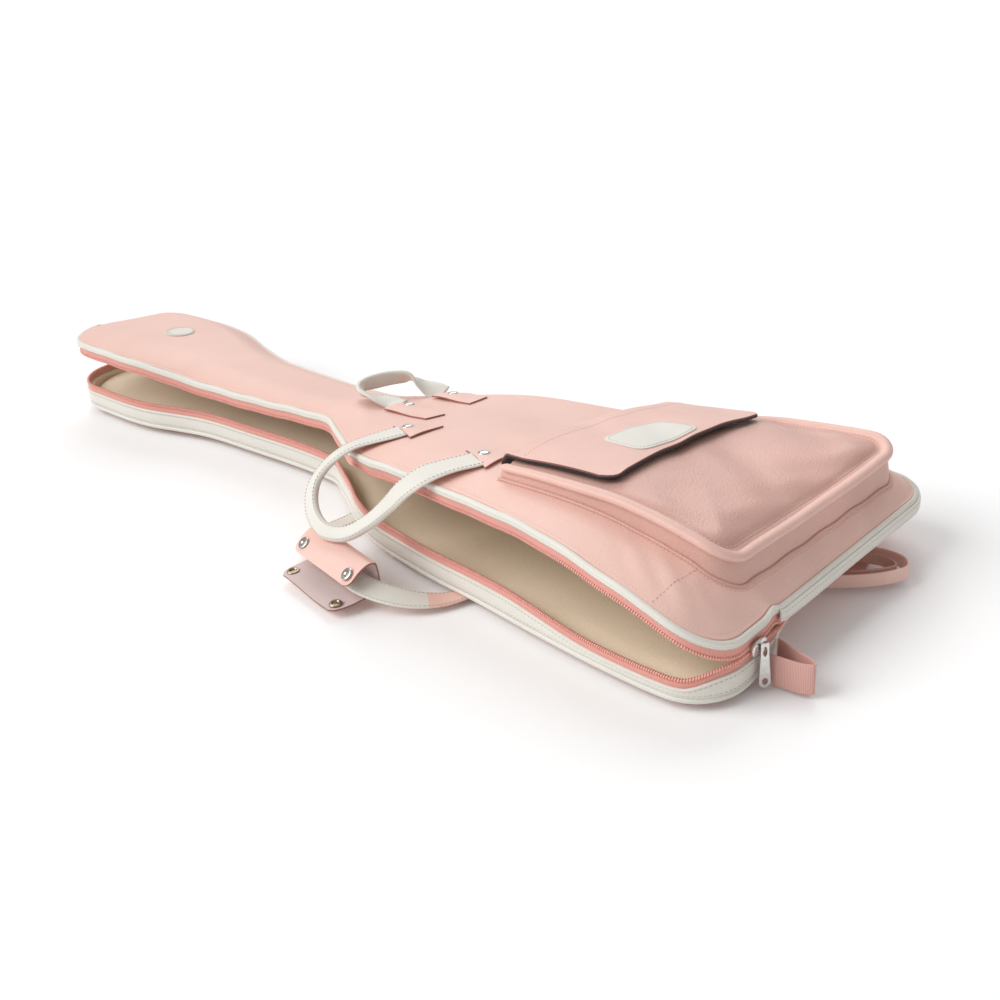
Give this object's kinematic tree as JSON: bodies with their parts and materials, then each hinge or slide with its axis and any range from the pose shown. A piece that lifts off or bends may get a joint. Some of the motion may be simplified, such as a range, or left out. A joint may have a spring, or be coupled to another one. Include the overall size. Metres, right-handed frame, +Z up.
{
  "type": "padded gig bag",
  "caption": "Long padded bag for an electric bass, narrow at the neck, with a zip round its edge, a hinged padded lid with a flapped pocket, and loop handles.",
  "frame": {"origin": "on the floor, under the middle of the bounding box of the bag as it lies open", "axes": "+X from the head end to the tail end of the bag, -Y towards the open zip side, +Z up from the floor through the back to the lid"},
  "size_m": [1.2297, 0.4885, 0.1627],
  "materials": {
    "pink_leather": "satin, fine pebble grain",
    "cream_leather": "satin, fine grain",
    "pink_zip": "matt woven tape with moulded coil",
    "foam": "matt closed-cell padding",
    "beige_lining": "smooth satin cloth",
    "black_lining": "matt brushed cloth",
    "nickel": "polished nickel",
    "brass": "darkened brass",
    "suede": "napped flesh side",
    "pink_webbing": "woven webbing",
    "black_plastic": "moulded"
  },
  "bodies": {
    "back_shell": {"back_panel": "pink_leather", "back_foam": "foam", "back_lining": "beige_lining", "back_piping": "cream_leather", "back_gusset": "cream_leather", "zip_tape_back": "pink_zip", "zip_coil_back": "pink_zip", "hinge_gusset_back": "cream_leather", "back_handle_head_tab": "pink_leather", "back_handle_head_rivet": "nickel", "back_handle_tail_tab": "pink_leather", "back_handle_tail_rivet": "nickel", "shoulder_strap_near": "pink_leather", "strap_webbing_near": "pink_webbing", "strap_anchor_near": "pink_leather", "strap_buckle_near": "black_plastic", "shoulder_strap_far": "pink_leather", "strap_webbing_far": "pink_webbing", "strap_anchor_far": "pink_leather", "strap_buckle_far": "black_plastic", "corner_loop": "pink_webbing", "far_strap_loop": "pink_webbing", "far_strap_inner_loop": "pink_webbing"},
    "lid": {"lid_panel": "pink_leather", "lid_foam": "foam", "lid_lining": "beige_lining", "lid_piping": "cream_leather", "zip_tape_lid": "pink_zip", "zip_coil_lid": "pink_zip", "hinge_gusset_lid": "cream_leather", "tail_cover": "cream_leather", "head_badge": "cream_leather", "pocket": "pink_leather", "pocket_lining": "black_lining", "near_handle_head_tab": "pink_leather", "near_handle_head_rivet": "nickel", "near_handle_tail_tab": "pink_leather", "near_handle_tail_rivet": "nickel", "far_handle_head_tab": "pink_leather", "far_handle_head_rivet": "nickel", "far_handle_tail_tab": "pink_leather", "far_handle_tail_rivet": "nickel"},
    "flap": {"pocket_flap": "pink_leather", "flap_lining": "black_lining", "flap_patch": "cream_leather"},
    "near_grip": {"near_handle": "cream_leather"},
    "far_grip": {"far_handle": "cream_leather"},
    "back_grip": {"back_handle": "cream_leather", "wrap_lower": "suede", "wrap_socket_1": "brass", "wrap_socket_2": "brass"},
    "wrap_top": {"wrap_upper": "pink_leather", "wrap_stud_1": "nickel", "wrap_stud_2": "nickel"},
    "slider": {"zip_slider": "nickel"},
    "pull": {"zip_pull": "nickel"}
  },
  "joints": [
    {"name": "lid_opens", "type": "hinge", "parent": "back_shell", "child": "lid", "pos_m": [0.2683, 0.22445, 0.0373], "axis": [-0.9945, -0.1044, 0], "range_deg": [0, 85]},
    {"name": "flap_opens", "type": "hinge", "parent": "lid", "child": "flap", "pos_m": [0.2583, 0.0545, 0.118], "axis": [0, -0.9861, 0.1662], "range_deg": [0, 75]},
    {"name": "near_handle_swings", "type": "hinge", "parent": "lid", "child": "near_grip", "pos_m": [0.1493, -0.076, 0.1315], "axis": [-0.981, 0.1703, -0.0927], "range_deg": [0, 120]},
    {"name": "far_handle_swings", "type": "hinge", "parent": "lid", "child": "far_grip", "pos_m": [-0.0262, 0.068, 0.0985], "axis": [0.0729, 0.991, -0.1122], "range_deg": [0, 100]},
    {"name": "back_handle_swings", "type": "hinge", "parent": "back_shell", "child": "back_grip", "pos_m": [0.1228, -0.074, 0.0059], "axis": [0.9969, -0.079, 0], "range_deg": [0, 80]},
    {"name": "wrap_closes", "type": "hinge", "parent": "back_grip", "child": "wrap_top", "pos_m": [0.11155, -0.17674, 0.0462], "axis": [0.978, -0.2085, 0], "range_deg": [0, 15]},
    {"name": "slider_runs", "type": "slide", "parent": "back_shell", "child": "slider", "axis": [0, -1, 0], "range_m": [0, 0.016]},
    {"name": "pull_swings", "type": "hinge", "parent": "slider", "child": "pull", "pos_m": [0.5724, -0.096, 0.0493], "axis": [0, -1, 0], "range_deg": [0, 170]}
  ]
}
